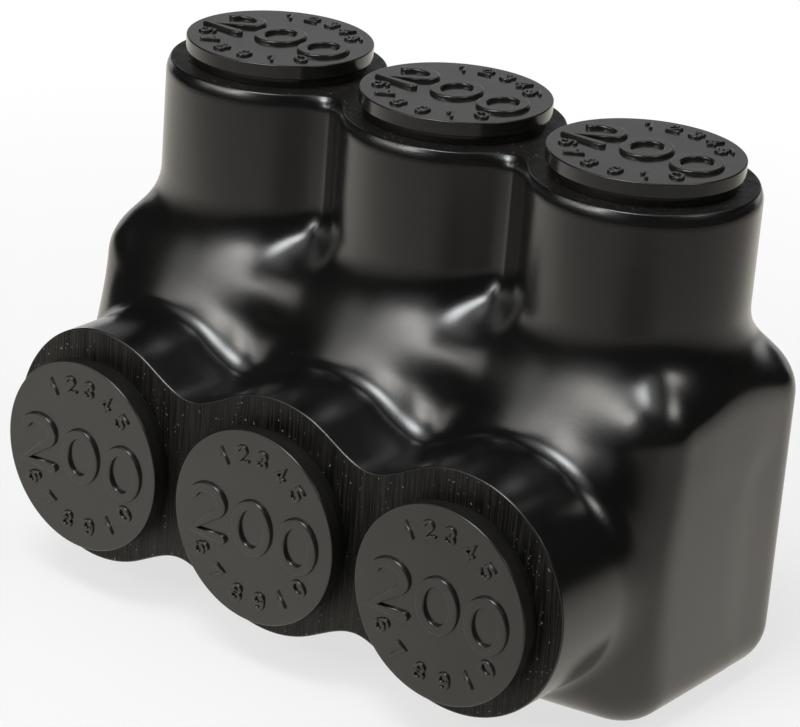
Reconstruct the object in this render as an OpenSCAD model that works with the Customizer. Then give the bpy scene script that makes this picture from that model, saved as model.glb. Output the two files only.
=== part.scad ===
// Insulated multi-tap connector: a metal block with three wire ports, coated in a thick soft cover.
// Everything is drawn round the crossing of the middle wire's and the middle screw's centre lines.
// X runs along the row of ports, wires come in along Y from the front, screws stand along Z.

/* [Ports] */
// Distance between the centre lines of neighbouring ports
port_pitch = 38.8; // [38:0.1:42]
// Radius of the wire bores in the block
wire_bore_r = 12.3; // [10:0.1:13]
// How far a wire bore runs on behind the screw's centre line
wire_stop = 15; // [14:0.5:16.5]

/* [Block] */
// From an outer screw's centre line to the end of the block
block_end = 20; // [18.5:0.5:25]
// From the screws' centre lines forward to the face with the wire bores
block_front = 18.3; // [16:0.1:20]
// From the screws' centre lines back to the rear face
block_back = 19.7; // [19:0.1:24]
// From the wires' centre lines up to the top face
block_top = 29.4; // [26:0.1:34]
// From the wires' centre lines down to the underside
block_bottom = 23.3; // [22:0.1:28]
// Chamfer on every outer edge of the block
block_chamfer = 3; // [2.4:0.1:4]

/* [Screws] */
// Outer radius of a set screw
screw_r = 11.95; // [9:0.05:12.2]
// Length of a set screw
screw_length = 26; // [22:0.5:28]
// Radial gap between a set screw and its hole
screw_gap = 0.05; // [0.03:0.01:0.1]
// Gap between a resting screw's tip and the top of the wire bore
screw_rest = 0.5; // [0.2:0.1:3]
// Size of the hexagon socket across its flats
socket_af = 9.5; // [6:0.1:12]
// Depth of the hexagon socket
socket_depth = 10; // [6:0.5:14]
// Chamfer on both ends of a screw
screw_chamfer = 1.5; // [0.8:0.1:2.5]

/* [Cover] */
// Thickness of the cover on the flat sides of the block
cover_wall = 3.2; // [2.6:0.1:4.5]
// Rounding of the cover's long edges
cover_round = 8.6; // [8.4:0.1:10.4]
// How far the wire tubes run out in front of the cover's front face
tube_length = 20.9; // [18:0.1:30]
// Outer radius of a wire tube
tube_r = 20.8; // [19.6:0.1:21.6]
// How far the middle of a tube's outside lies above the wire's centre line
tube_lift = 0.6; // [0:0.1:2]
// Radius of the hollow between two neighbouring tubes
tube_hollow_r = 9.7; // [6:0.1:12]
// Outer radius of the thick barrel at the root of a tube
barrel_r = 24.9; // [24.2:0.1:26.2]
// How far the barrels stand out from the cover's front face
barrel_proud = 5; // [3:0.1:6]
// Rounding of a barrel's front edge
barrel_round = 6.7; // [3:0.1:7.5]
// Radius of the hollow between two neighbouring barrels
barrel_hollow_r = 6; // [3:0.5:7]
// Fillet between a barrel's front and its tube
root_fillet = 3; // [2:0.1:4]
// Height of the screw towers above the top of the cover's body
tower_height = 29; // [26:0.1:40]
// Outer radius of a screw tower
tower_r = 19.5; // [18.4:0.1:20.4]
// Radius of the hollow between two neighbouring towers
tower_hollow_r = 4; // [2.5:0.1:5]
// Height of the flare from a tower down to the cover's body
flare_height = 12; // [8:0.5:18]
// How far the rim of a tower draws in at the sawn face
rim_in = 0.8; // [0.3:0.1:1.5]
// Height of the drawn-in rim of a tower
rim_height = 2.2; // [1:0.1:4]

/* [Plugs] */
// Radius of the openings for the wires
wire_opening_r = 15.5; // [14:0.1:16]
// Radius of the openings over the screws
screw_opening_r = 14.2; // [13.4:0.1:15]
// Radial gap between a plug's skirt and its opening
plug_gap = 0.08; // [0.04:0.01:0.1]
// Radius of a wire plug's flange
wire_flange_r = 17; // [16.8:0.1:18]
// Radius of a screw plug's flange
screw_flange_r = 16.4; // [16.1:0.1:17.4]
// Thickness of a plug's flange
flange_t = 2.5; // [1.5:0.1:4]
// Chamfer on the outer edge of a flange
flange_chamfer = 0.4; // [0.2:0.1:0.8]
// How far a plug's neck is set in from the flange's edge
neck_step = 1; // [0.6:0.1:1.1]
// Height of a wire plug's neck between the cover and the flange
wire_neck = 2.2; // [1:0.1:4]
// Height of a screw plug's neck between the cover and the flange
screw_neck = 1.7; // [1:0.1:4]
// Length of a plug's skirt inside its opening
skirt_length = 10; // [6:0.5:12]
// Wall of a plug's skirt
skirt_wall = 1.8; // [1.2:0.1:3]

/* [Hidden] */
PORTS = [-1, 0, 1];
VALLEYS = [-0.5, 0.5];
$fn = 96;

// The cover's body lies one wall outside the block.
cover_end = port_pitch + block_end + cover_wall;
cover_front = block_front + cover_wall;
cover_back = block_back + cover_wall;
cover_top = block_top + cover_wall;
cover_bottom = block_bottom + cover_wall;
tube_cut = cover_front + tube_length;
tower_cut = cover_top + tower_height;
barrel_front = cover_front + barrel_proud;

// The flare ends on a collar that just stays within the cover's flat sides, a little below its top.
collar_inset = 0.2;
collar_r = min(block_end, block_back) + cover_wall - collar_inset;
collar_sink = 4.5;
flare_foot = cover_top - collar_sink;

// The fillet at a tube's root touches the barrel's round edge and the tube.
edge_centre = [barrel_r - barrel_round, barrel_front - barrel_round];
root_in = tube_r + root_fillet - edge_centre.x;
root_up = sqrt(pow(barrel_round + root_fillet, 2) - pow(root_in, 2));
root_centre = edge_centre + [root_in, root_up];
// The fill between two barrels starts to round off this much sooner than they do.
fill_sooner = 2;
// The outline that rounds the outer barrels' upright corners ends this far in front of the fillets.
corner_out = 3.5;

// The upright corners are rounded a little more than the long edges.
corner_r = cover_round + 0.5;
// A hollow between two round walls sits this much deeper than one that just touches them.
hollow_sink = 0.15;
// Cuts run on past a face by this much.
over = 1;

screw_hole_r = screw_r + screw_gap;
screw_tip = wire_bore_r + screw_rest;
taper_length = 1.2;
taper_in = 0.7;

wire_face = tube_cut + wire_neck + flange_t;

// The origin is under the middle of the whole part, on the surface that it stands on.
module placed() {
    translate([0, (wire_face - cover_back) / 2, cover_bottom]) children();
}

// Turns a shape that is drawn along Z to point forward along a wire.
module forward() {
    rotate([90, 0, 0]) children();
}

// Points of an arc round a centre, from one angle to another.
function arc(centre, r, from, to, steps = 8) =
    [for (i = [0 : steps]) let (a = from + (to - from) * i / steps)
        centre + r * [cos(a), sin(a)]];

// A rectangle from one corner to the other, with round corners.
module rounded_outline(low, high, r) {
    translate([low.x + r, low.y]) square([high.x - low.x - 2 * r, high.y - low.y]);
    translate([low.x, low.y + r]) square([high.x - low.x, high.y - low.y - 2 * r]);
    for (x = [low.x + r, high.x - r], y = [low.y + r, high.y - r]) translate([x, y]) circle(r);
}

// A rectangle from one corner to the other, with its corners cut off.
module chamfered_outline(low, high, c) {
    polygon([[low.x + c, low.y], [high.x - c, low.y], [high.x, low.y + c], [high.x, high.y - c],
             [high.x - c, high.y], [low.x + c, high.y], [low.x, high.y - c], [low.x, low.y + c]]);
}

// A hollow of radius f between two round walls of radius r, a pitch apart: how far off its centre
// lies, and where it touches them.
function hollow_centre(r, f) = sqrt(pow(r + f, 2) - pow(port_pitch / 2, 2));
function hollow_touch(r, f) = [f * port_pitch / 2, r * hollow_centre(r, f)] / (r + f);

// The fill between two such walls, hollowed on both sides.
module hollow_outline(r, f) {
    difference() {
        square(2 * hollow_touch(r, f), center = true);
        for (side = [-1, 1]) translate([0, side * (hollow_centre(r, f) - hollow_sink)]) circle(f);
    }
}

// Common volume of an outline along X, an outline along Y and an outline along Z.
module body_of(half_length, low_y, high_y, low_z, high_z) {
    intersection() {
        rotate([90, 0, 90]) linear_extrude(2 * half_length, center = true) children(0);
        translate([0, high_y + over, 0]) rotate([90, 0, 0])
            linear_extrude(high_y - low_y + 2 * over) children(1);
        translate([0, 0, low_z - over]) linear_extrude(high_z - low_z + 2 * over) children(2);
    }
}

// A round column with rounded top and bottom edges, for a corner of the cover's body.
module corner_column(r, height, edge) {
    rotate_extrude() {
        square([r - edge, height]);
        translate([0, edge]) square([r, height - 2 * edge]);
        for (z = [edge, height - edge]) translate([r - edge, z]) intersection() {
            circle(edge);
            translate([edge - r, -edge]) square([r, 2 * edge]);
        }
    }
}

module cover_body() {
    r = corner_r;
    rotate([90, 0, 90]) linear_extrude(2 * (cover_end - r), center = true)
        rounded_outline([-cover_front, -cover_bottom], [cover_back, cover_top], cover_round);
    translate([0, cover_back - r, 0]) rotate([90, 0, 0])
        linear_extrude(cover_front + cover_back - 2 * r)
            rounded_outline([-cover_end, -cover_bottom], [cover_end, cover_top], cover_round);
    for (x = [r - cover_end, cover_end - r], y = [r - cover_front, cover_back - r])
        translate([x, y, -cover_bottom]) corner_column(r, cover_bottom + cover_top, cover_round);
}

module block_body() {
    half_length = port_pitch + block_end;
    body_of(half_length, -block_front, block_back, -block_bottom, block_top) {
        chamfered_outline([-block_front, -block_bottom], [block_back, block_top], block_chamfer);
        chamfered_outline([-half_length, -block_bottom], [half_length, block_top], block_chamfer);
        chamfered_outline([-half_length, -block_front], [half_length, block_back], block_chamfer);
    }
}

// One thick barrel with a rounded front edge that runs smoothly on to its tube, drawn along Z.
module barrel() {
    touch = atan2(root_up, root_in);
    rotate_extrude() polygon(concat([[0, 0], [barrel_r, 0]],
        arc(edge_centre, barrel_round, 0, touch),
        arc(root_centre, root_fillet, 180 + touch, 180),
        [[0, root_centre.y]]));
}

// The fill between two neighbouring barrels, with a rounded front like theirs, drawn along Z.
module barrel_fill() {
    reach = hollow_touch(barrel_r, barrel_hollow_r).y;
    intersection() {
        linear_extrude(barrel_front) hollow_outline(barrel_r, barrel_hollow_r);
        rotate([90, 0, 90]) linear_extrude(port_pitch, center = true)
            rounded_outline([-reach, -reach], [reach, barrel_front], barrel_round + fill_sooner);
    }
}

// One screw tower, drawn from the wire's centre line up: a collar, an S-shaped flare, a straight
// side and a rim that draws in to the sawn face.
module tower() {
    rise = flare_height;
    turn = 2 * atan((collar_r - tower_r) / rise);
    bend = rise / (2 * sin(turn));
    foot = flare_foot;
    rotate_extrude() polygon(concat([[0, 0], [collar_r, 0]],
        arc([collar_r - bend, foot], bend, 0, turn),
        arc([tower_r + bend, foot + rise], bend, 180 + turn, 180),
        [[tower_r, tower_cut - rim_height]],
        arc([tower_r - rim_height, tower_cut - rim_height], rim_height, 10, acos(1 - rim_in / rim_height), 4),
        [[tower_r - rim_in, tower_cut], [0, tower_cut]]));
}

module insulating_jacket() {
    color("#1c1c1d") placed() difference() {
        union() {
            cover_body();
            translate([0, 0, tube_lift]) forward() {
                for (i = PORTS) translate([i * port_pitch, 0, 0]) cylinder(r = tube_r, h = tube_cut);
                for (i = VALLEYS) translate([i * port_pitch, 0, 0])
                    linear_extrude(tube_cut) hollow_outline(tube_r, tube_hollow_r);
            }
            intersection() {
                translate([0, 0, tube_lift]) forward() {
                    for (i = PORTS) translate([i * port_pitch, 0, 0]) barrel();
                    for (i = VALLEYS) translate([i * port_pitch, 0, 0]) barrel_fill();
                }
                translate([0, 0, -cover_bottom]) linear_extrude(cover_bottom + cover_top)
                    rounded_outline([-cover_end, -root_centre.y - corner_out],
                                    [cover_end, cover_back], corner_r);
            }
            for (i = PORTS) translate([i * port_pitch, 0, 0]) tower();
            for (i = VALLEYS) translate([i * port_pitch, 0, 0])
                linear_extrude(tower_cut) hollow_outline(tower_r, tower_hollow_r);
        }
        block_body();
        for (i = PORTS) translate([i * port_pitch, 0, 0]) {
            forward() cylinder(r = wire_opening_r, h = tube_cut + over);
            cylinder(r = screw_opening_r, h = tower_cut + over);
        }
    }
}

module connector_block() {
    color("#b9bbbe") placed() difference() {
        block_body();
        for (i = PORTS) translate([i * port_pitch, 0, 0]) {
            translate([0, wire_stop, 0]) forward()
                cylinder(r = wire_bore_r, h = wire_stop + block_front + over);
            cylinder(r = screw_hole_r, h = block_top + over);
        }
    }
}

// A set screw for one port: a plain thread blank with chamfered ends and a hexagon socket.
module set_screw(port) {
    c = screw_chamfer;
    color("#a7a9ac") placed() translate([port * port_pitch, 0, screw_tip]) difference() {
        rotate_extrude() polygon([[0, 0], [screw_r - c, 0], [screw_r, c], [screw_r, screw_length - c],
                                  [screw_r - c, screw_length], [0, screw_length]]);
        translate([0, 0, screw_length - socket_depth])
            cylinder(r = socket_af / 2 / cos(30), h = socket_depth + over, $fn = 6);
    }
}

// A plug drawn along Z with its seat at zero: skirt below, neck and flange above.
module plug(opening_r, flange_r, neck) {
    skirt_r = opening_r - plug_gap;
    neck_r = flange_r - neck_step;
    top = neck + flange_t;
    inner_r = skirt_r - skirt_wall;
    rotate_extrude() polygon([[0, neck], [inner_r, neck], [inner_r, -skirt_length],
                              [skirt_r - taper_in, -skirt_length], [skirt_r, taper_length - skirt_length],
                              [skirt_r, 0], [neck_r, 0], [neck_r, neck], [flange_r, neck],
                              [flange_r, top - flange_chamfer], [flange_r - flange_chamfer, top], [0, top]]);
}

module wire_plug(port) {
    color("#2b2b2c") placed() translate([port * port_pitch, -tube_cut, 0]) forward()
        plug(wire_opening_r, wire_flange_r, wire_neck);
}

module screw_plug(port) {
    color("#2b2b2c") placed() translate([port * port_pitch, 0, tower_cut])
        plug(screw_opening_r, screw_flange_r, screw_neck);
}

insulating_jacket();
connector_block();
set_screw(PORTS[0]);  // set_screw_left
set_screw(PORTS[1]);  // set_screw_middle
set_screw(PORTS[2]);  // set_screw_right
wire_plug(PORTS[0]);  // wire_plug_left
wire_plug(PORTS[1]);  // wire_plug_middle
wire_plug(PORTS[2]);  // wire_plug_right
screw_plug(PORTS[0]);  // screw_plug_left
screw_plug(PORTS[1]);  // screw_plug_middle
screw_plug(PORTS[2]);  // screw_plug_right
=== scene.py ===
"""Looks of the insulated multi-tap connector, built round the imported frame."""
import math

import bmesh
import bpy
import numpy as np
from mathutils import Matrix, Vector


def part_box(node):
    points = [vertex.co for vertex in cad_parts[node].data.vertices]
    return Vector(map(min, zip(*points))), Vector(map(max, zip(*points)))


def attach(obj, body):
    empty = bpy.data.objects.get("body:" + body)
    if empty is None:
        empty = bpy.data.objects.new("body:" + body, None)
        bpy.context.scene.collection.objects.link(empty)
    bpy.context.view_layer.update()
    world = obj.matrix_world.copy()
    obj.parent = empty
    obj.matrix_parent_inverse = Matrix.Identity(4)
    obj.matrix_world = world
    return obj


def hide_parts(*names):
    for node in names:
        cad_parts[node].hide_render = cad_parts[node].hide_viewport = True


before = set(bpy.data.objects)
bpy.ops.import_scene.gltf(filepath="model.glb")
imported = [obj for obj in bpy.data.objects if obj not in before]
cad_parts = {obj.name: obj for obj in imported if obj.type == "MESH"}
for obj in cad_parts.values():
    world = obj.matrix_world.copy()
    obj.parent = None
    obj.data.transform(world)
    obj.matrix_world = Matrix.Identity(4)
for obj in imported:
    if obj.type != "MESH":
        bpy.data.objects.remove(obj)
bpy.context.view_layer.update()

MM = 0.001
SIDES = ("left", "middle", "right")
# The ports' places along the row, in pitches
PLACES = (-1, 0, 1)

# Sizes in millimetres, measured from the crossing of the middle wire's and the middle screw's
# centre lines: X along the row, Y back, Z up. A blend is the reach of a smooth join.

# The body of the cover
COVER_ROUND = 8.68
BODY_FRONT = -21.72
BODY_TOP = 33.27
# The joins swell the body's ends and back, which are cut flat again with an edge this soft.
FLAT_SIDE_BLEND = 0.8

# The wire tubes
TUBE_R = 21.07
TUBE_LIFT = 0.62
TUBE_BLEND = 13.12
# The left tube's wall is this much thinner on its outer side.
LEFT_TUBE_THIN = 2.2

# The swollen barrels behind the tubes, and how far the row of them ends inside the body's ends
BARREL_R = 23.5
BARREL_PROUD = 7.54
BARREL_ROUND = 8.4
BARREL_BLEND = 7.63
BARREL_END_IN = 3.0
END_BLEND = 11.72

# The screw towers
TOWER_R = 19.63
TOWER_BLEND = 8.7
TOWER_FOOT = 19.28

# What joins them to the body, and the round edge of what ends inside it
BODY_BARREL_BLEND = 10.28
BODY_TOWER_BLEND = 8.88
BODY_TUBE_BLEND = 2.1
HIDDEN_ROUND = 1.0

# The sawn ends: the towers draw in towards theirs, and all edges are a little worn.
RIM_IN = 0.75
RIM_HEIGHT = 2.4
RIM_PAST = 1.2
CUT_EDGE = 0.25
OPENING_LIP = 0.25

# The fineness of the meshes
CELL = 0.72
GRID_MARGIN = 2.2
NORMAL_STEP = 0.7
LATHE_STEPS = 144
DISC_STEPS = 96
SCREW_STEPS = 96
ROWS_A_PITCH = 10

# The openings in the cover, and the block's edges
WIRE_OPENING_R = 15.5
SCREW_OPENING_R = 14.2
BLOCK_CHAMFER = 3.0

# The plugs
FLANGE_T = 2.5
FLANGE_EDGE = 0.22
NECK_STEP = 1.0
SKIRT_GAP = 0.08
SKIRT_LENGTH = 10.0
SKIRT_WALL = 1.8
SKIRT_TAPER = 1.2
SKIRT_TAPER_IN = 0.7

# The raised numbers on the plugs
BIG_NUMBER = "200"
BIG_HEIGHT = 10.2
BIG_WIDTH = 8.6
BIG_PITCH = 9.7
BIG_STROKE = 1.9
BIG_EDGE = 0.3
BIG_RISE = 0.6
SMALL_HEIGHT = 3.3
SMALL_WIDTH = 2.5
SMALL_STROKE = 0.72
SMALL_EDGE = 0.2
SMALL_RISE = 0.4
SMALL_RADIUS = 12.8
UPPER_ARC = (122, 46)
LOWER_ARC = (-146, -34)
UPPER_NUMBERS = "12345"
LOWER_NUMBERS = "678910"
# How far the strokes' sides lean, as a share of their rise, how deep they are set into the face,
# and how far their corners may reach out
STROKE_LEAN = 0.12
STROKE_SINK = 0.15
CORNER_REACH = 1.45

# The set screws
THREAD_PITCH = 2.0
THREAD_DEPTH = 0.85
THREAD_FLANK = 2.6
THREAD_CREST = 0.15
SOCKET_AF = 9.5
SOCKET_DEPTH = 10.0
SOCKET_CHAMFER = 0.5
SCREW_CHAMFER = 1.5
DRILL_CONE = 2.4

# The look. Tones are the darkest and the palest colour of a surface.
SKIN_TONES = ((0.0045, 0.0045, 0.0045), (0.008, 0.0078, 0.0075))
SKIN_SPECK = (0.06, 0.058, 0.052)
SKIN_IOR = 1.667
SKIN_ROUGH = 0.19
SAWN_TONES = ((0.0015, 0.0015, 0.0015), (0.02, 0.0175, 0.0145))
SAWN_CRUMB = (0.3, 0.28, 0.24)
SAWN_IOR = 1.33
SAW_TILT = 0.10
PLUG_TONES = ((0.0095, 0.009, 0.0082), (0.014, 0.0132, 0.012))
PLUG_WORN = (0.03, 0.028, 0.025)
PLUG_IOR = 1.6
PLUG_ROUGH = 0.16
BLOCK_TONES = ((0.58, 0.585, 0.59), (0.70, 0.70, 0.69))
SCREW_TONES = ((0.50, 0.50, 0.48), (0.66, 0.655, 0.63))
SCREW_WORN = (0.78, 0.77, 0.74)

# The camera, in metres and degrees
CAMERA_AT = (0.31198, -0.41685, 0.26067)
CAMERA_AZIMUTH = 36.67
CAMERA_ELEVATION = 22.38
CAMERA_ROLL = 4.47
LENS = 148.62
SENSOR = 36.0

# The lamps: azimuth, elevation, width and height in degrees, radiance and colour. Azimuth 0 is in
# front of the object and 90 to its right.
LAMP_DISTANCE = 1.2
LAMP_AIM = (0, 0.012, 0.045)
WARM = (1.02, 1.0, 0.95)
COOL = (0.96, 1.0, 1.01)
PLAIN = (1.0, 1.0, 1.0)
LAMPS = (
    ("front_core", -7, 33.5, 21, 20, 6.6, WARM),
    ("front_low", -21, 27, 38, 13, 4.0, WARM),
    ("front_left", -43, 28, 30, 34, 1.6, WARM),
    ("front_halo", -10, 30, 64, 48, 0.6, PLAIN),
    ("high_core", 3, 65, 34, 29, 11.0, COOL),
    ("high_halo", 0, 70, 80, 54, 1.1, PLAIN),
    ("bridge", -2, 46, 30, 20, 1.8, PLAIN),
    ("right_core", 99, 44, 30, 25, 4.4, WARM),
    ("right_halo", 99, 44, 52, 46, 0.6, PLAIN),
    ("back_box", 175, 62, 42, 42, 1.1, PLAIN),
    ("back_left", -143, 22, 50, 32, 0.42, PLAIN),
)
# A lamp is at its full strength within this part of its half width, and fades to nought at its edge.
LAMP_CORE = 0.3

# The floor, in metres: the share of plain white, as it is seen, goes from the first of FLOOR_GLOW
# to the second between the distances of FLOOR_FADE.
FLOOR_R = 3.0
FLOOR_COLOUR = (0.96, 0.96, 0.96)
FLOOR_GLOW = (0.7, 1.0)
FLOOR_FADE = (0.09, 0.3)

# The room: white up to the horizon's fade, dark above it
ROOM = (0.01, 0.01, 0.01)
HORIZON_FADE = (0.115, 0.14)

# The black flags, in metres, which only gloss sees and which cast no shadow: painted dark reflections.
# One lies on the table and grows darker with the distance
# from a centre, and has a dark spot: painted shade in the table's reflection, with a painted warm tint
# where it is clear. The other is a wall at its edge, black in its lower part.
FLAG_CENTRE = (-0.18, 0.152)
FLAG_STOPS = ((0.27, 0.0), (0.36, 0.5), (0.5, 0.65), (0.62, 0.8))
PAINTED_REFLECTION_TINT = (1.0, 0.95, 0.86)
FLAG_LIFT = 0.0004
SPOT_AT = (0.15, -0.128)
SPOT_REACH = (0.02, 0.17)
SPOT_DARK = 0.85
WALL_AZIMUTHS = (-100, 165)
WALL_R = 0.78
WALL_HEIGHT = 0.25
WALL_BLACK = 0.6
WALL_POSTS = 65


def node_box(node):
    """Lowest and highest corner of a CAD node, in millimetres."""
    low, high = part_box(node)
    return np.array(low) / MM, np.array(high) / MM


def measure():
    """Sizes that the frame gives, round the crossing of the middle port's centre lines."""
    jacket_low, jacket_high = node_box("insulating_jacket")
    block_low, block_high = node_box("connector_block")
    wire_low, wire_high = node_box("wire_plug_middle")
    screw_low, screw_high = node_box("screw_plug_middle")
    right_low, right_high = node_box("wire_plug_right")
    thread_low, thread_high = node_box("set_screw_middle")
    origin = np.array([0.0, (screw_low[1] + screw_high[1]) / 2, (wire_low[2] + wire_high[2]) / 2])
    wall = block_low[2] - jacket_low[2]
    return {
        "origin": origin,
        "pitch": (right_low[0] + right_high[0]) / 2,
        "block": (block_low - origin, block_high - origin),
        "low": block_low - origin - wall,
        "high": block_high - origin + wall,
        "wire_cut": jacket_low[1] - origin[1],
        "screw_cut": jacket_high[2] - origin[2],
        "wire_face": wire_low[1] - origin[1],
        "screw_face": screw_high[2] - origin[2],
        "wire_flange_r": (wire_high[0] - wire_low[0]) / 2,
        "screw_flange_r": (screw_high[0] - screw_low[0]) / 2,
        "thread_r": (thread_high[0] - thread_low[0]) / 2,
        "thread_span": (thread_low[2] - origin[2], thread_high[2] - origin[2]),
    }


SIZE = measure()


# Distance fields of the cover

def blend_min(a, b, k):
    """Union of two distances, with a smooth hollow where both are near."""
    h = np.clip(0.5 + 0.5 * (b - a) / k, 0, 1)
    return b + (a - b) * h - k * h * (1 - h)


def blend_max(a, b, k):
    """Common volume of two distances, with a smooth edge."""
    return -blend_min(-a, -b, k)


def round_max(a, b, r):
    """Common volume of two distances, with an edge of radius r."""
    a = a + r
    b = b + r
    return np.minimum(np.maximum(a, b), 0) + np.hypot(np.maximum(a, 0), np.maximum(b, 0)) - r


def blend_all(parts, k):
    """Union of several distances, one after the other."""
    whole = parts[0]
    for part in parts[1:]:
        whole = blend_min(whole, part, k)
    return whole


def rounded_box(p, low, high, r):
    """Distance from a box with round edges."""
    q = np.abs(p - (low + high) / 2) - (high - low) / 2 + r
    return np.minimum(q.max(axis=-1), 0) + np.linalg.norm(np.maximum(q, 0), axis=-1) - r


def cover_field(p):
    """Distance from the cover's outer skin, before it is sawn off, in millimetres."""
    x, y, z = p[..., 0], p[..., 1], p[..., 2]
    low, high = SIZE["low"].copy(), SIZE["high"].copy()
    low[1], high[2] = BODY_FRONT, BODY_TOP
    spare = FLAT_SIDE_BLEND / 4
    body = rounded_box(p, low - np.array([spare, 0, 0]), high + np.array([spare, spare, 0]),
                       COVER_ROUND)
    towers, tubes, barrels = [], [], []
    for i in PLACES:
        across = x - i * SIZE["pitch"]
        thin = LEFT_TUBE_THIN * np.clip(-across / TUBE_R, 0, 1) ** 2 if i < 0 else 0
        towers.append(round_max(np.hypot(across, y) - TOWER_R, TOWER_FOOT - z, HIDDEN_ROUND))
        tubes.append(round_max(np.hypot(across, z - TUBE_LIFT) - (TUBE_R - thin), y, HIDDEN_ROUND))
        barrel = round_max(np.hypot(across, z) - BARREL_R, BODY_FRONT - BARREL_PROUD - y,
                           BARREL_ROUND)
        barrels.append(np.maximum(barrel, y))
    barrel = blend_all(barrels, BARREL_BLEND)
    barrel = blend_max(barrel, np.abs(x) - high[0] + BARREL_END_IN, END_BLEND)
    barrel = blend_max(barrel, low[2] - z, END_BLEND)
    rim = np.clip((z - SIZE["screw_cut"] + RIM_HEIGHT) / RIM_HEIGHT, 0, RIM_PAST)
    tower = blend_all(towers, TOWER_BLEND) + RIM_IN * rim ** 2
    d = blend_min(body, barrel, BODY_BARREL_BLEND)
    d = blend_min(d, tower, BODY_TOWER_BLEND)
    d = blend_min(d, blend_all(tubes, TUBE_BLEND), BODY_TUBE_BLEND)
    flat_sides = np.maximum(np.abs(x) - high[0], y - high[1]) - spare
    return np.maximum(blend_max(d, flat_sides, FLAT_SIDE_BLEND), low[2] - z)


def unit(vectors):
    """The vectors, made one long."""
    vectors = np.asarray(vectors, float)
    return vectors / np.maximum(np.linalg.norm(vectors, axis=-1, keepdims=True), 1e-9)


def field_normals(field, points, step=NORMAL_STEP):
    """Unit gradient of a field at some points."""
    gradient = np.empty_like(points)
    for axis in range(3):
        offset = np.zeros(3)
        offset[axis] = step
        gradient[:, axis] = field(points + offset) - field(points - offset)
    return unit(gradient)


def surface_net(field, low, high, cell, rounds=4):
    """Quads on the zero surface of a field: one vertex a cell, drawn on to the surface."""
    counts = np.ceil((high - low) / cell).astype(int) + 1
    axes = [low[i] + cell * np.arange(counts[i]) for i in range(3)]
    inside = field(np.stack(np.meshgrid(*axes, indexing="ij"), axis=-1)) < 0
    total = sum(inside[i:counts[0] - 1 + i, j:counts[1] - 1 + j, k:counts[2] - 1 + k].astype(int)
                for i in (0, 1) for j in (0, 1) for k in (0, 1))
    mixed = (total > 0) & (total < 8)
    index = np.full(mixed.shape, -1)
    index[mixed] = np.arange(mixed.sum())
    points = low + cell * (np.argwhere(mixed) + 0.5)
    quads = []
    for axis in range(3):
        order = (axis, (axis + 1) % 3, (axis + 2) % 3)
        solid = inside.transpose(order)
        cells = index.transpose(order)
        lower = solid[:-1, 1:-1, 1:-1]
        upper = solid[1:, 1:-1, 1:-1]
        for change, flip in ((lower & ~upper, False), (~lower & upper, True)):
            i, j, k = np.nonzero(change)
            ring = [cells[i, j, k], cells[i, j + 1, k], cells[i, j + 1, k + 1], cells[i, j, k + 1]]
            quads.append(np.stack(ring[::-1] if flip else ring, axis=1))
    quads = np.concatenate(quads)
    starts = quads.ravel()
    ends = np.roll(quads, -1, axis=1).ravel()
    weight = np.bincount(starts, minlength=len(points)) + np.bincount(ends, minlength=len(points))
    for turn in range(rounds):
        if turn:
            mean = np.zeros_like(points)
            np.add.at(mean, starts, points[ends])
            np.add.at(mean, ends, points[starts])
            points = 0.5 * points + 0.5 * mean / np.maximum(weight, 1)[:, None]
        for _ in range(2):
            points = points - field_normals(field, points) * field(points)[:, None]
    return points, quads


# Mesh helpers

def to_frame(points):
    """Points round the crossing of the centre lines, in millimetres, to the part's frame in metres."""
    return (np.asarray(points, float) + SIZE["origin"]) * MM


def add_object(name, mesh):
    """An object in the scene round a mesh, a camera or a light."""
    made = bpy.data.objects.new(name, mesh)
    bpy.context.scene.collection.objects.link(made)
    return made


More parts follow.
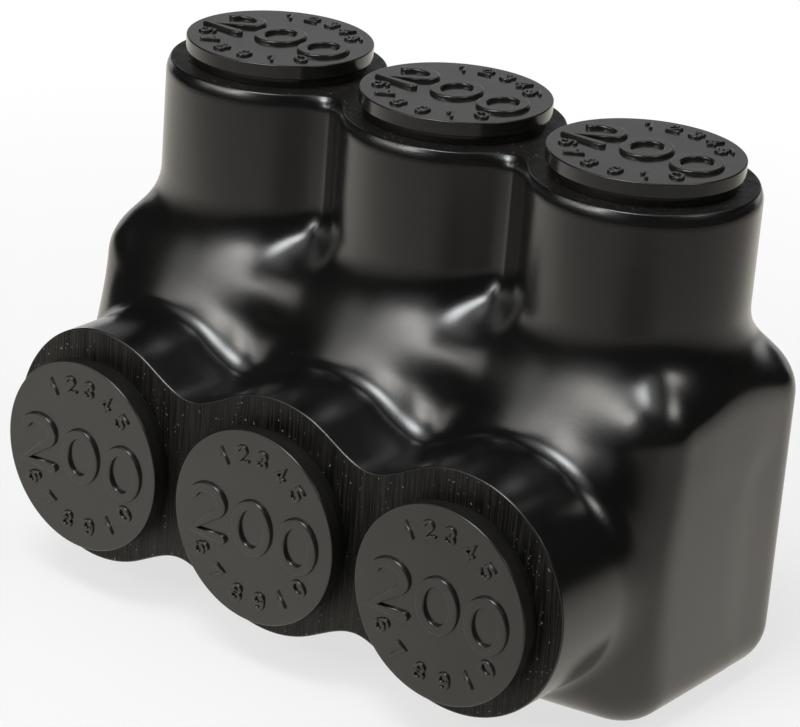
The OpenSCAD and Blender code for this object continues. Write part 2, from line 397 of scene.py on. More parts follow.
class Shape:
    """A mesh in the making, in millimetres, whose vertices carry the normal they are shaded with."""

    def __init__(self):
        self.bm = bmesh.new()
        self.way = self.bm.verts.layers.float_vector.new("way")

    def row(self, places, normals):
        """Vertices at some places, each with its normal."""
        made = []
        for place, normal in zip(places, normals):
            vert = self.bm.verts.new(place)
            vert[self.way] = normal
            made.append(vert)
        return made

    def face(self, verts, smooth=True):
        """A face, smooth or flat."""
        made = self.bm.faces.new(verts)
        made.smooth = smooth
        return made

    def strip(self, one, two, closed=True, smooth=True):
        """Quads between two rows of vertices."""
        for k in range(len(one) if closed else len(one) - 1):
            n = (k + 1) % len(one)
            self.face((one[k], one[n], two[n], two[k]), smooth)

    def edges_of(self, row):
        """The edges of a closed row, made where they are missing."""
        pairs = zip(row, row[1:] + row[:1])
        return [self.bm.edges.get(pair) or self.bm.edges.new(pair) for pair in pairs]

    def fill(self, edges, material=0):
        """Flat faces inside a flat outline, round any holes in it."""
        before = set(self.bm.faces)
        bmesh.ops.triangle_fill(self.bm, edges=edges, use_beauty=True)
        for made in set(self.bm.faces) - before:
            made.smooth = False
            made.material_index = material

    def finish(self, name, turn=np.eye(3), at=(0, 0, 0)):
        """The object, turned and moved from the drawing's place to its place in the part."""
        bmesh.ops.recalc_face_normals(self.bm, faces=self.bm.faces[:])
        mesh = bpy.data.meshes.new(name)
        self.bm.to_mesh(mesh)
        self.bm.free()
        count = len(mesh.vertices)
        ways = np.empty(3 * count)
        mesh.attributes["way"].data.foreach_get("vector", ways)
        ways = ways.reshape(count, 3) @ turn.T
        mesh.attributes.remove(mesh.attributes["way"])
        places = np.empty(3 * count)
        mesh.vertices.foreach_get("co", places)
        places = to_frame(places.reshape(count, 3) @ turn.T + np.array(at, float))
        mesh.vertices.foreach_set("co", places.ravel())
        mesh.update()
        self.shade(mesh, ways)
        return add_object(name, mesh)

    @staticmethod
    def shade(mesh, ways):
        """Smooth faces take their vertices' normals, and flat ones keep their own."""
        verts = np.empty(len(mesh.loops), int)
        mesh.loops.foreach_get("vertex_index", verts)
        totals = np.empty(len(mesh.polygons), int)
        mesh.polygons.foreach_get("loop_total", totals)
        smooth = np.empty(len(mesh.polygons), bool)
        mesh.polygons.foreach_get("use_smooth", smooth)
        flats = np.empty(3 * len(mesh.polygons))
        mesh.polygons.foreach_get("normal", flats)
        flats = np.repeat(flats.reshape(-1, 3), totals, axis=0)
        normals = np.where(np.repeat(smooth, totals)[:, None], ways[verts], flats)
        mesh.normals_split_custom_set(unit(normals))


def circle_points(centre, u, v, r, steps):
    """Points of a circle in the plane of u and v, and the ways out from its centre."""
    turn = np.arange(steps) * 2 * math.pi / steps
    out = np.outer(np.cos(turn), u) + np.outer(np.sin(turn), v)
    return np.asarray(centre) + r * out, out


def level_circle(r, z, steps):
    """Points of a level circle round Z, and the ways out from its centre."""
    return circle_points((0, 0, z), np.array([1.0, 0, 0]), np.array([0, 1.0, 0]), r, steps)


def rounded_profile(corners, steps=4):
    """Points and normals of an open outline whose corners (x, y, radius) are rounded off.

    The normals point to the left of the way along the outline.
    """
    places = np.array([corner[:2] for corner in corners], float)
    ways = unit(np.diff(places, axis=0))
    left = np.stack([-ways[:, 1], ways[:, 0]], axis=1)
    points, normals = [places[0]], [left[0]]
    for k in range(1, len(corners) - 1):
        one, two = ways[k - 1], ways[k]
        turn = math.atan2(one[0] * two[1] - one[1] * two[0], one @ two)
        r = corners[k][2]
        inset = r * math.tan(abs(turn) / 2)
        side = math.copysign(1, turn)
        centre = places[k] - one * inset + left[k - 1] * side * r
        for step in range(steps + 1):
            a = turn * step / steps
            normal = left[k - 1] * math.cos(a) - one * math.sin(a)
            points.append(centre - normal * side * r)
            normals.append(normal)
    points.append(places[-1])
    normals.append(left[-1])
    return np.array(points), np.array(normals)


# The cover

def sawn_rim(shape, axis, plane, sign):
    """Saws the cover off at a plane, rounds the edge a little and returns the last row's edges."""
    bm = shape.bm
    normal = Vector((0, 0, 0))
    normal[axis] = sign
    at = Vector((0, 0, 0))
    at[axis] = plane - sign * CUT_EDGE
    bmesh.ops.bisect_plane(bm, geom=bm.verts[:] + bm.edges[:] + bm.faces[:], dist=1e-5, plane_co=at,
                           plane_no=normal, clear_outer=True)
    edges = [e for e in bm.edges
             if e.is_boundary and all(abs(v.co[axis] - at[axis]) < 1e-3 for v in e.verts)]
    verts = list(dict.fromkeys(v for e in edges for v in e.verts))
    places = np.array([v.co for v in verts])
    skin = field_normals(cover_field, places)
    for vert, way in zip(verts, skin):
        vert[shape.way] = way
    outward = skin.copy()
    outward[:, axis] = 0
    outward = unit(outward)
    cap = np.array(normal)
    layer = {v: v for v in verts}
    for turn in (30, 60, 90):
        angle = math.radians(turn)
        moved = places - outward * CUT_EDGE * (1 - math.cos(angle))
        moved[:, axis] += sign * CUT_EDGE * math.sin(angle)
        ways = unit(skin * math.cos(angle) + cap * math.sin(angle))
        fresh = dict(zip(verts, shape.row(moved, ways)))
        for e in edges:
            a, b = e.verts
            shape.face((layer[b], layer[a], fresh[a], fresh[b]))
        layer = fresh
    return [bm.edges.get((layer[e.verts[0]], layer[e.verts[1]])) for e in edges]


def bore_wall(shape, centre, axis, start, stop, r):
    """Wall of one opening from the sawn face inwards: its outer and its inner row of edges."""
    along = np.zeros(3)
    along[axis] = 1.0
    u, v = np.roll(along, 1), np.roll(along, 2)
    way = math.copysign(1, stop - start)
    lip = OPENING_LIP
    corners = ((r + lip + 0.01, start, 0), (r, start, lip), (r, stop, 0))
    points, normals = rounded_profile(corners)
    rows = []
    for (radius, depth), normal in zip(points[1:], normals[1:]):
        middle = np.array(centre, float)
        middle[axis] = depth
        places, out = circle_points(middle, u, v, radius, LATHE_STEPS)
        facing = -out * abs(normal[0]) - along * way * abs(normal[1])
        rows.append(shape.row(places, facing))
    for one, two in zip(rows, rows[1:]):
        shape.strip(one, two)
    return shape.edges_of(rows[0]), shape.edges_of(rows[-1])


def make_pocket(shape, openings):
    """The hollow that the block fills, with chamfered edges and the openings cut into its walls."""
    bm = shape.bm
    low, high = SIZE["block"]
    verts = []
    for signs in np.ndindex(2, 2, 2):
        way = 2 * np.array(signs) - 1
        corner = np.where(way > 0, high, low)
        # One point on the cut-off corner's middle, and one where it meets each of the three faces
        for inset in ((0.5, 0.5, 0.5), (0, 1, 1), (1, 0, 1), (1, 1, 0)):
            verts.append(bm.verts.new(corner - way * BLOCK_CHAMFER * np.array(inset)))
    bmesh.ops.convex_hull(bm, input=verts)
    edges = list(dict.fromkeys(e for v in verts for e in v.link_edges))
    bmesh.ops.dissolve_limit(bm, angle_limit=0.01, verts=verts, edges=edges)
    for axis, plane, row in openings:
        for face in dict.fromkeys(f for v in verts if v.is_valid for f in v.link_faces):
            if all(abs(v.co[axis] - plane) < 1e-4 for v in face.verts):
                rim = list(face.edges)
                bmesh.ops.delete(bm, geom=[face], context="FACES_ONLY")
                shape.fill(rim + row)


def make_cover():
    """The dipped cover: smooth skin, sawn ends, openings and the pocket for the block."""
    low = np.array([SIZE["low"][0], SIZE["wire_cut"], SIZE["low"][2]]) - GRID_MARGIN
    high = np.array([SIZE["high"][0], SIZE["high"][1], SIZE["screw_cut"]]) + GRID_MARGIN
    points, quads = surface_net(cover_field, low, high, CELL)
    shape = Shape()
    verts = shape.row(points, field_normals(cover_field, points))
    for quad in quads:
        shape.face([verts[k] for k in quad])
    front = sawn_rim(shape, 1, SIZE["wire_cut"], -1)
    top = sawn_rim(shape, 2, SIZE["screw_cut"], 1)
    block_low, block_high = SIZE["block"]
    inner_front, inner_top = [], []
    for i in PLACES:
        x = i * SIZE["pitch"]
        outer, inner = bore_wall(shape, (x, 0, 0), 1, SIZE["wire_cut"], block_low[1], WIRE_OPENING_R)
        front += outer
        inner_front += inner
        outer, inner = bore_wall(shape, (x, 0, 0), 2, SIZE["screw_cut"], block_high[2], SCREW_OPENING_R)
        top += outer
        inner_top += inner
    shape.fill(front, material=1)
    shape.fill(top, material=1)
    make_pocket(shape, ((1, block_low[1], inner_front), (2, block_high[2], inner_top)))
    made = shape.finish("cover")
    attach(made, "housing")
    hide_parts("insulating_jacket")
    return made


# Strokes of the raised numbers, in a box one unit wide and one unit high round its middle

def arc_points(centre, rx, ry, start, stop, steps=14):
    """Points of an elliptic arc between two angles in degrees."""
    turn = np.radians(np.linspace(start, stop, steps + 1))
    return np.stack([centre[0] + rx * np.cos(turn), centre[1] + ry * np.sin(turn)], axis=1)


def ring(centre, rx, ry):
    """Points of a closed ellipse."""
    return arc_points(centre, rx, ry, 90, 450, 36)[:-1]


def strokes(digit):
    """The paths of one digit, each with whether it is closed."""
    if digit == "0":
        return [(ring((0, 0), 0.5, 0.5), True)]
    if digit == "1":
        return [(np.array([(-0.3, 0.26), (0.05, 0.5), (0.05, -0.5)]), False)]
    if digit == "2":
        bow = arc_points((0, 0.22), 0.47, 0.28, 165, -38)
        return [(np.vstack([bow, [(-0.45, -0.5), (0.5, -0.5)]]), False)]
    if digit == "3":
        return [(arc_points((-0.04, 0.26), 0.42, 0.24, 150, -75), False),
                (arc_points((-0.04, -0.24), 0.5, 0.26, 75, -150), False)]
    if digit == "4":
        return [(np.array([(0.5, -0.22), (-0.5, -0.22), (0.2, 0.5), (0.2, -0.5)]), False)]
    if digit == "5":
        bow = arc_points((-0.02, -0.17), 0.48, 0.33, 128, -150)
        return [(np.vstack([[(0.42, 0.5), (-0.36, 0.5), (-0.42, 0.14)], bow]), False)]
    if digit == "6":
        return [(ring((0, -0.19), 0.5, 0.31), True),
                (arc_points((0.06, -0.12), 0.54, 0.62, 62, 172), False)]
    if digit == "7":
        return [(np.array([(-0.48, 0.5), (0.48, 0.5), (-0.14, -0.5)]), False)]
    if digit == "8":
        return [(ring((0, 0.26), 0.4, 0.24), True), (ring((0, -0.24), 0.5, 0.26), True)]
    return [(ring((0, 0.19), 0.5, 0.31), True),
            (arc_points((-0.06, 0.12), 0.54, 0.62, 242, 352), False)]


def ridge(shape, path, closed, base, stroke, rise, edge):
    """A raised line along a path in the plane at height base, rounded along its top edges."""
    half = stroke / 2
    crest = half - STROKE_LEAN * rise
    corners = ((-half, -STROKE_SINK, 0), (-crest, rise, edge), (crest, rise, edge),
               (half, -STROKE_SINK, 0))
    section, section_normals = rounded_profile(corners, 3)
    path = np.asarray(path, float)
    ahead = np.roll(path, -1, axis=0) - path
    behind = path - np.roll(path, 1, axis=0)
    if not closed:
        ahead[-1], behind[0] = behind[-1], ahead[0]
    ahead, behind = unit(ahead), unit(behind)
    way = unit(ahead + behind)
    across = np.stack([-way[:, 1], way[:, 0]], axis=1)
    stretch = np.minimum(1 / np.maximum((way * ahead).sum(axis=1), 0.2), CORNER_REACH)
    stations = [(path[k], across[k] * stretch[k], across[k], way[k] * 0) for k in range(len(path))]
    if not closed:
        stations = (end_stations(path[0], across[0], -way[0], half)[::-1] + stations
                    + end_stations(path[-1], across[-1], way[-1], half))
    rows = []
    for place, reach, side, beyond in stations:
        flat = place + section[:, :1] * reach
        places = np.column_stack([flat, base + section[:, 1]])
        ways = np.column_stack([section_normals[:, :1] * side + np.abs(section_normals[:, :1]) * beyond,
                                section_normals[:, 1]])
        rows.append(shape.row(places, ways))
    for one, two in zip(rows, rows[1:] + ([rows[0]] if closed else [])):
        shape.strip(one, two)
    if not closed:
        shape.face(rows[0], smooth=False)
        shape.face(rows[-1], smooth=False)


def end_stations(place, across, way, half):
    """The last cross-sections of a stroke, which round its end off."""
    made = []
    for turn in (35, 60, 80):
        a = math.radians(turn)
        made.append((place + way * half * math.sin(a), across * math.cos(a), across * math.cos(a),
                     way * math.sin(a)))
    return made


def raised_digit(shape, digit, centre, up, size, stroke, rise, edge, base):
    """One digit of a plug's face, upright along up."""
    up = unit(np.array(up, float))
    right = np.array([up[1], -up[0]])
    inner = np.array(size) - stroke
    for path, closed in strokes(digit):
        placed = centre + np.outer(path[:, 0] * inner[0], right) + np.outer(path[:, 1] * inner[1], up)
        ridge(shape, placed, closed, base, stroke, rise, edge)


def raised_numbers(shape, base):
    """The numbers on a plug's face: three large digits between two arcs of small ones."""
    for k, digit in enumerate(BIG_NUMBER):
        raised_digit(shape, digit, np.array([(k - 1) * BIG_PITCH, 0]), (0, 1), (BIG_WIDTH, BIG_HEIGHT),
                     BIG_STROKE, BIG_RISE, BIG_EDGE, base)
    for text, (start, stop), sign in ((UPPER_NUMBERS, UPPER_ARC, 1), (LOWER_NUMBERS, LOWER_ARC, -1)):
        for k, digit in enumerate(text):
            angle = math.radians(start + (stop - start) * k / (len(text) - 1))
            out = np.array([math.cos(angle), math.sin(angle)])
            raised_digit(shape, digit, out * SMALL_RADIUS, out * sign, (SMALL_WIDTH, SMALL_HEIGHT),
                         SMALL_STROKE, SMALL_RISE, SMALL_EDGE, base)


# The plugs and the screws

def lathe(shape, corners, steps=LATHE_STEPS):
    """A solid turned round Z from an outline that starts and ends on the axis."""
    points, normals = rounded_profile(corners)
    up = np.array([0, 0, 1.0])
    ends = []
    for k in (0, -1):
        ends.append(shape.row([(0, 0, points[k][1])], [up * normals[k][1]])[0])
    rows = []
    for (r, z), normal in zip(points[1:-1], normals[1:-1]):
        places, out = level_circle(r, z, steps)
        rows.append(shape.row(places, out * normal[0] + up * normal[1]))
    for one, two in zip(rows, rows[1:]):
        shape.strip(one, two)
    for end, row in zip(ends, (rows[0], rows[-1])):
        for k in range(steps):
            shape.face((end, row[k], row[(k + 1) % steps]))


def make_plug(name, node, body, opening_r, flange_r, top, turn, at):
    """One plug, drawn with its seat at zero and its face up."""
    shape = Shape()
    neck_r = flange_r - NECK_STEP
    neck = top - FLANGE_T
    skirt_r = opening_r - SKIRT_GAP
    inner_r = skirt_r - SKIRT_WALL
    # Each corner of the outline: its radius, its height and how round it is
    lathe(shape, ((0, top, 0), (flange_r, top, FLANGE_EDGE), (flange_r, neck, FLANGE_EDGE),
                  (neck_r, neck, 0.3), (neck_r, 0, 0.1), (skirt_r, 0, 0.1),
                  (skirt_r, SKIRT_TAPER - SKIRT_LENGTH, 0.4),
                  (skirt_r - SKIRT_TAPER_IN, -SKIRT_LENGTH, 0.2), (inner_r, -SKIRT_LENGTH, 0.3),
                  (inner_r, neck, 0.6), (0, neck, 0)))
    raised_numbers(shape, top)
    made = shape.finish(name, turn, at)
    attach(made, body)
    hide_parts(node)
    return made


def thread_radius(z, turn, r, span):
    """Radius of the thread's outside at a height and an angle."""
    phase = (z / THREAD_PITCH - turn / (2 * math.pi)) % 1.0
    tooth = np.clip(np.abs(phase - 0.5) * THREAD_FLANK - THREAD_CREST, 0, 1)
    tooth = tooth * tooth * (3 - 2 * tooth)
    chamfer = r - SCREW_CHAMFER + np.minimum(z - span[0], span[1] - z)
    return np.minimum(r - THREAD_DEPTH * tooth, chamfer)


def make_screw(name, node, body, x):
    """A set screw: a threaded barrel with chamfered ends and a hexagon socket."""
    shape = Shape()
    r, span = SIZE["thread_r"], SIZE["thread_span"]
    turn = np.arange(SCREW_STEPS) * 2 * math.pi / SCREW_STEPS
    rows_up = int((span[1] - span[0]) / THREAD_PITCH * ROWS_A_PITCH) + 1
    heights = np.linspace(span[0], span[1], rows_up)
    grid_turn, grid_z = np.meshgrid(turn, heights)

    def surface(a, z):
        """Points of the thread's outside."""
        radius = thread_radius(z, a, r, span)
        return np.stack([radius * np.cos(a), radius * np.sin(a), z], axis=-1)

    step = 1e-3
    places = surface(grid_turn, grid_z)
    ways = np.cross(surface(grid_turn + step, grid_z) - surface(grid_turn - step, grid_z),
                    surface(grid_turn, grid_z + step) - surface(grid_turn, grid_z - step))
    rows = [shape.row(p, w) for p, w in zip(places, unit(ways))]
    for one, two in zip(rows, rows[1:]):
        shape.strip(one, two)
    shape.fill(shape.edges_of(rows[0]))
    hexes = []
    across = SOCKET_AF / 2 / math.cos(math.pi / 6)
    chamfered = across + SOCKET_CHAMFER
    for radius, depth in ((chamfered, 0), (across, SOCKET_CHAMFER), (across, SOCKET_DEPTH)):
        places, out = level_circle(radius, span[1] - depth, 6)
        hexes.append(shape.row(places, -out))
    for one, two in zip(hexes, hexes[1:]):
        shape.strip(one, two, smooth=False)
    tip = shape.row([(0, 0, span[1] - SOCKET_DEPTH - DRILL_CONE)], [(0, 0, 1)])[0]
    for k in range(6):
        shape.face((hexes[-1][k], hexes[-1][(k + 1) % 6], tip), smooth=False)
    shape.fill(shape.edges_of(rows[-1]) + shape.edges_of(hexes[0]))
    made = shape.finish(name, at=(x, 0, 0))
    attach(made, body)
    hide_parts(node)
    return made


def make_fittings():
    """The plugs and the set screw of each port."""
    forward = np.array([[1.0, 0, 0], [0, 0, -1.0], [0, 1.0, 0]])
    plugs, screws = [], []
    for i, side in zip(PLACES, SIDES):
        x = i * SIZE["pitch"]
        plugs.append(make_plug("front_plug_" + side, "wire_plug_" + side, "wire_plug_" + side,
                               WIRE_OPENING_R, SIZE["wire_flange_r"],
                               SIZE["wire_cut"] - SIZE["wire_face"], forward,
                               (x, SIZE["wire_cut"], 0)))
        plugs.append(make_plug("top_plug_" + side, "screw_plug_" + side, "screw_plug_" + side,
                               SCREW_OPENING_R, SIZE["screw_flange_r"],
                               SIZE["screw_face"] - SIZE["screw_cut"], np.eye(3),
                               (x, 0, SIZE["screw_cut"])))
        screws.append(make_screw("threaded_screw_" + side, "set_screw_" + side, "screw_" + side, x))
    return plugs, screws


# Materials. Noise is given in waves a millimetre, and relief in millimetres.

class Nodes:
    """A short way to wire up one material's nodes."""

    def __init__(self, tree):
        self.tree = tree
        tree.nodes.clear()

    def add(self, kind, inputs=(), **settings):
        """A node, with some of its sockets set to a value or linked to another node's output."""
        node = self.tree.nodes.new(kind)
        for key, value in settings.items():
            setattr(node, key, value)
        for key, value in dict(inputs).items():
            if isinstance(value, bpy.types.NodeSocket):
                self.tree.links.new(value, node.inputs[key])
            else:
                node.inputs[key].default_value = value
        return node

    def where(self):
        """The place on the object, in its own metres."""
        return self.add("ShaderNodeTexCoord").outputs["Object"]

    def noise(self, per_mm, detail=2.0, roughness=0.5, turn=(0, 0, 0)):
        """Noise with so many waves a millimetre: one number, or one for each axis once turned."""
        steps = per_mm if isinstance(per_mm, tuple) else (per_mm,) * 3
        place = self.add("ShaderNodeMapping", {"Vector": self.where(), "Rotation": turn,
                                               "Scale": tuple(step / MM for step in steps)})
        inputs = {"Vector": place.outputs[0], "Scale": 1.0, "Detail": detail, "Roughness": roughness}
        return self.add("ShaderNodeTexNoise", inputs).outputs["Fac"]

    def spread(self, value, low, high, from_low=0.3, from_high=0.7, course="LINEAR"):
        """A value that goes from low to high while another goes from one limit to the other."""
        inputs = {"Value": value, "From Min": from_low, "From Max": from_high,
                  "To Min": low, "To Max": high}
        return self.add("ShaderNodeMapRange", inputs, interpolation_type=course).outputs[0]

    def total(self, one, two, operation="ADD"):
        """The sum of two values, or what another operation makes of them."""
        return self.add("ShaderNodeMath", {0: one, 1: two}, operation=operation).outputs[0]

    def distance(self, one, two):
        """How far one place is from another."""
        return self.add("ShaderNodeVectorMath", {0: one, 1: two}, operation="DISTANCE").outputs["Value"]

    def height_of(self, place):
        """The Z of a place."""
        return self.add("ShaderNodeSeparateXYZ", {0: place}).outputs["Z"]

    def edges(self, low, high):
        """Nought on flat and hollow parts and one on edges that stand out."""
        return self.spread(self.add("ShaderNodeNewGeometry").outputs["Pointiness"], 0, 1, low, high)

    def bump(self, height, distance, below=None):
        """Relief whose height is given in millimetres."""
        inputs = {"Height": height, "Distance": distance * MM, "Strength": 1.0}
        if below is not None:
            inputs["Normal"] = below
        return self.add("ShaderNodeBump", inputs).outputs[0]

    def shade_through(self, dark, tint):
        """Black where dark is one, and clear with a tint where it is nought."""
        clear = self.add("ShaderNodeBsdfTransparent", {"Color": (*tint, 1)})
        black = self.add("ShaderNodeBsdfDiffuse", {"Color": (0, 0, 0, 1)})
        both = self.add("ShaderNodeMixShader", {0: dark, 1: clear.outputs[0], 2: black.outputs[0]})
        self.add("ShaderNodeOutputMaterial", {"Surface": both.outputs[0]})

    def mix(self, factor, one, two):
        """A colour between two others."""
        node = self.add("ShaderNodeMix", data_type="RGBA")
        self.tree.links.new(factor, node.inputs["Factor"])
        for key, value in (("A", one), ("B", two)):
            socket = next(s for s in node.inputs if s.name == key and s.type == "RGBA")
            if isinstance(value, bpy.types.NodeSocket):
                self.tree.links.new(value, socket)
            else:
                socket.default_value = (*value, 1)
        return next(s for s in node.outputs if s.type == "RGBA")

    def finish(self, **inputs):
        """The surface shader, with its sockets given by name."""
        named = {key.replace("_", " "): value for key, value in inputs.items()}
        shader = self.add("ShaderNodeBsdfPrincipled", named)
        self.add("ShaderNodeOutputMaterial", {"Surface": shader.outputs[0]})


def new_material(name):
    """A material and the nodes that make it."""
    material = bpy.data.materials.new(name)
    material.use_nodes = True
    return material, Nodes(material.node_tree)


def cover_material():
    """Satin black plastisol: soft waves, a fine grain and faint pale specks."""
    material, n = new_material("cover_skin")
    colour = n.mix(n.spread(n.noise(0.06, 3), 0, 1), *SKIN_TONES)
    colour = n.mix(n.spread(n.noise(3.2, 1), 0, 1, 0.755, 0.80), colour, SKIN_SPECK)
    grain = n.noise(4.2, 1, 0.6)
    rough = n.spread(n.noise(0.12, 3), SKIN_ROUGH - 0.015, SKIN_ROUGH + 0.02)
    rough = n.total(rough, n.spread(grain, -0.02, 0.02))
    waves = n.bump(n.noise(0.07, 1), 0.012)
    n.finish(Base_Color=colour, Roughness=rough, Normal=n.bump(grain, 0.018, waves), IOR=SKIN_IOR)
    return material


def sawn_material():
    """The sawn ends: dull, scored by the saw and dusted with pale crumbs."""
    material, n = new_material("cover_sawn")
    tilt = (0, SAW_TILT, 0)
    lines = n.noise((3.0, 3.0, 0.08), 3, 0.6, tilt)
    colour = n.mix(n.spread(lines, 0, 1, 0.44, 0.62), *SAWN_TONES)
    colour = n.mix(n.spread(n.noise(1.9, 1, 0.5), 0, 1, 0.73, 0.77), colour, SAWN_CRUMB)
    rough = n.spread(n.noise((0.5, 0.5, 0.03), 2, turn=tilt), 0.40, 0.55)
    relief = n.bump(n.noise(5.0, 2, 0.6), 0.03, n.bump(lines, 0.25))
    n.finish(Base_Color=colour, Roughness=rough, Normal=relief, IOR=SAWN_IOR)
    return material


def plug_material():
    """Moulded black rubber with a slight sheen, a fine grain and worn corners."""
    material, n = new_material("plug_rubber")
    colour = n.mix(n.spread(n.noise(0.15, 3), 0, 1), *PLUG_TONES)
    colour = n.mix(n.edges(0.52, 0.62), colour, PLUG_WORN)
    rough = n.spread(n.noise(0.2, 3), PLUG_ROUGH - 0.03, PLUG_ROUGH + 0.03)
    relief = n.bump(n.noise(7.0, 2, 0.6), 0.003, n.bump(n.noise(0.08, 1), 0.010))
    n.finish(Base_Color=colour, Roughness=rough, Normal=relief, IOR=PLUG_IOR)
    return material


def block_material():
    """Milled aluminium, with the tool's fine lines along the row and a dull tone in places."""
    material, n = new_material("block_aluminium")
    lines = n.noise((0.05, 5.0, 5.0), 3, 0.6)
    colour = n.mix(n.spread(n.noise(0.12, 3), 0, 1), *BLOCK_TONES)
    rough = n.spread(lines, 0.26, 0.42)
    n.finish(Base_Color=colour, Metallic=1.0, Roughness=rough, Normal=n.bump(lines, 0.012))
    return material


def screw_material():
    """Plated screw metal: bright crests, duller hollows and a few rubbed marks."""
    material, n = new_material("screw_plating")
    marks = n.noise(1.2, 4, 0.65)
    colour = n.mix(n.spread(marks, 0, 1), *SCREW_TONES)
    colour = n.mix(n.edges(0.5, 0.6), colour, SCREW_WORN)
    rough = n.spread(n.noise(0.5, 3), 0.24, 0.4)
    n.finish(Base_Color=colour, Metallic=1.0, Roughness=rough, Normal=n.bump(marks, 0.008))
    return material


def paint(made, *materials):
    """Gives a piece its materials, in the order of its faces' material numbers."""
    slots = made.data.materials
    for k, material in enumerate(materials):
        if k < len(slots):
            slots[k] = material
        else:
            slots.append(material)


# Camera, light and floor

def make_camera():
    """The photograph's view."""
    camera = add_object("camera", bpy.data.cameras.new("camera"))
    camera.data.lens = LENS
    camera.data.sensor_width = SENSOR
    camera.data.clip_start = 0.01
    turn = (Matrix.Rotation(math.radians(CAMERA_AZIMUTH), 3, "Z")
            @ Matrix.Rotation(math.radians(90 - CAMERA_ELEVATION), 3, "X")
            @ Matrix.Rotation(math.radians(CAMERA_ROLL), 3, "Z"))
    camera.matrix_world = Matrix.Translation(CAMERA_AT) @ turn.to_4x4()
    bpy.context.scene.camera = camera


def softbox(name, azimuth, elevation, width, height, radiance, colour):
    """A soft-edged lamp that faces the object and spans the given angles, as seen from it."""
    a, e = math.radians(azimuth), math.radians(elevation)
    way = Vector((math.sin(a) * math.cos(e), -math.cos(a) * math.cos(e), math.sin(e)))
    light = bpy.data.lights.new(name, "AREA")
    light.shape = "RECTANGLE"
    light.size = 2 * LAMP_DISTANCE * math.tan(math.radians(width / 2))
    light.size_y = 2 * LAMP_DISTANCE * math.tan(math.radians(height / 2))
    light.energy = radiance * math.pi * light.size * light.size_y
    light.color = colour
    light.use_nodes = True
    n = Nodes(light.node_tree)
    out = n.distance(n.add("ShaderNodeNewGeometry").outputs["Parametric"], (0.5, 0.5, 0))
    fade = n.spread(out, 1, 0, LAMP_CORE / 2, 0.5, "SMOOTHSTEP")
    glow = n.add("ShaderNodeEmission", {"Color": (1, 1, 1, 1), "Strength": fade})
    n.add("ShaderNodeOutputLight", {"Surface": glow.outputs[0]})
    lamp = add_object(name, light)
    lamp.location = Vector(LAMP_AIM) + way * LAMP_DISTANCE
    lamp.rotation_euler = way.to_track_quat("Z", "Y").to_euler()
    lamp.visible_camera = False


def seen_rays(n):
    """One for rays from the camera and for what gloss and clear stuff show, and else nought."""
    rays = n.add("ShaderNodeLightPath").outputs
    shown = n.total(rays["Is Camera Ray"], rays["Is Glossy Ray"], "MAXIMUM")
    return n.total(shown, rays["Is Transmission Ray"], "MAXIMUM")


def add_disc(name, r, z):
    """A flat round sheet of one face."""
    mesh = bpy.data.meshes.new(name)
    rim = level_circle(r, z, DISC_STEPS)[0]
    mesh.from_pydata(rim.tolist(), [], [tuple(range(len(rim)))])
    return add_object(name, mesh)


def make_floor():
    """A white table: near the object its own colour and shadow, further out plain white."""
    floor = add_disc("floor", FLOOR_R, 0)
    material, n = new_material("floor_white")
    matt = n.add("ShaderNodeBsdfPrincipled", {"Base Color": (*FLOOR_COLOUR, 1), "Roughness": 0.9,
                                              "Specular IOR Level": 0.0})
    glow = n.add("ShaderNodeEmission", {"Strength": 1.0})
    share = n.spread(n.distance(n.where(), (0, 0, 0)), *FLOOR_GLOW, *FLOOR_FADE)
    share = n.total(share, seen_rays(n), "MULTIPLY")
    both = n.add("ShaderNodeMixShader", {0: share, 1: matt.outputs[0], 2: glow.outputs[0]})
    n.add("ShaderNodeOutputMaterial", {"Surface": both.outputs[0]})
    paint(floor, material)


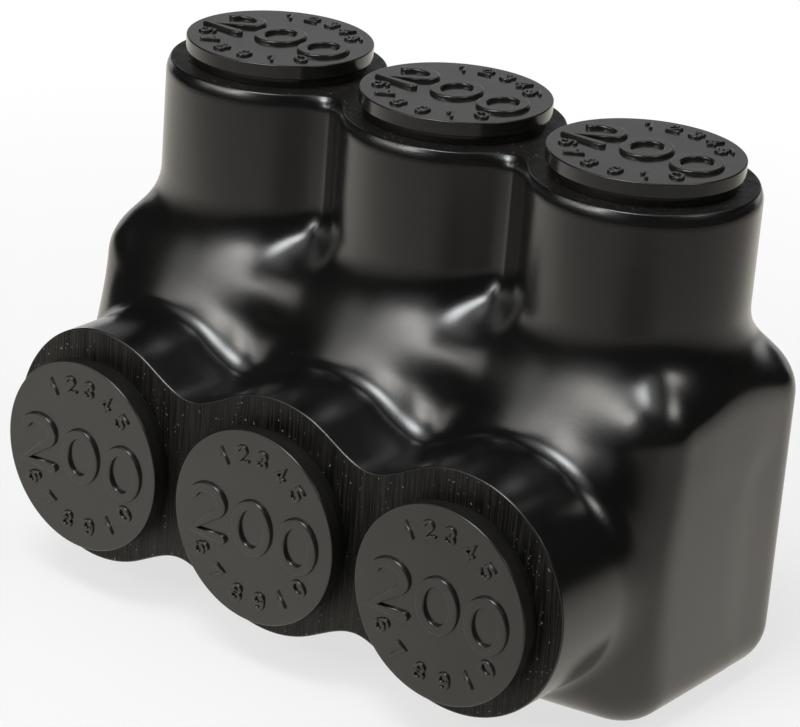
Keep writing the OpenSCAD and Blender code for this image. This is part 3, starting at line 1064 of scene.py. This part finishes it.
def make_flags():
    """Painted dark reflections that only gloss sees: a black wall round the table's front and right,
    and a sheet on it with painted shade and a painted warm tint.
    """
    turns = np.radians(np.linspace(*WALL_AZIMUTHS, WALL_POSTS))
    foot = np.column_stack([np.sin(turns), -np.cos(turns), turns * 0]) * WALL_R
    top = foot + np.array([0, 0, WALL_HEIGHT])
    quads = [(i, i + 1, WALL_POSTS + i + 1, WALL_POSTS + i) for i in range(WALL_POSTS - 1)]
    mesh = bpy.data.meshes.new("flag_wall")
    mesh.from_pydata(np.concatenate([foot, top]).tolist(), [], quads)
    wall = add_object("flag_wall", mesh)
    material, n = new_material("flag_black")
    # Painted dark reflection: the wall is black in its lower part, and only gloss sees it.
    n.shade_through(n.spread(n.height_of(n.where()), 1, 0, WALL_HEIGHT * WALL_BLACK, WALL_HEIGHT),
                    (1, 1, 1))
    paint(wall, material)

    sheet = add_disc("flag_sheet", WALL_R, FLAG_LIFT)
    material, n = new_material("painted_shade_sheet")
    where = n.where()
    # Painted shade in the table's reflection: darker with the distance from a centre and in a spot,
    # with a painted warm tint where the sheet is clear.
    ramp = n.add("ShaderNodeValToRGB", {0: n.distance(where, (*FLAG_CENTRE, 0))})
    for place, dark in FLAG_STOPS:
        ramp.color_ramp.elements.new(place).color = (dark, dark, dark, 1)
    for stop in [e for e in ramp.color_ramp.elements if e.position in (0, 1)]:
        stop.color = (FLAG_STOPS[-1][1],) * 3 + (1,) if stop.position else (0, 0, 0, 1)
    spot = n.spread(n.distance(where, (*SPOT_AT, 0)), SPOT_DARK, 0, *SPOT_REACH, "SMOOTHSTEP")
    n.shade_through(n.total(ramp.outputs[0], spot, "MAXIMUM"), PAINTED_REFLECTION_TINT)
    paint(sheet, material)
    for flag in (wall, sheet):
        flag.visible_camera = flag.visible_diffuse = False
        flag.visible_transmission = flag.visible_shadow = False


def make_world():
    """A dark room round the table, with a white rim at the horizon."""
    world = bpy.data.worlds.new("studio")
    bpy.context.scene.world = world
    world.use_nodes = True
    n = Nodes(world.node_tree)
    height = n.height_of(n.add("ShaderNodeTexCoord").outputs["Generated"])
    white = n.spread(height, 1, 0, *HORIZON_FADE)
    shown = n.mix(n.total(white, seen_rays(n), "MULTIPLY"), ROOM, (1, 1, 1))
    back = n.add("ShaderNodeBackground", {"Color": shown, "Strength": 1.0})
    n.add("ShaderNodeOutputWorld", {"Surface": back.outputs[0]})


# The scene

bpy.context.scene.view_settings.view_transform = "Standard"
make_camera()
make_world()
make_floor()
make_flags()
for lamp in LAMPS:
    softbox(*lamp)

paint(make_cover(), cover_material(), sawn_material())
plugs, screws = make_fittings()
rubber, plating = plug_material(), screw_material()
for plug in plugs:
    paint(plug, rubber)
for screw in screws:
    paint(screw, plating)
paint(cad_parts["connector_block"], block_material())
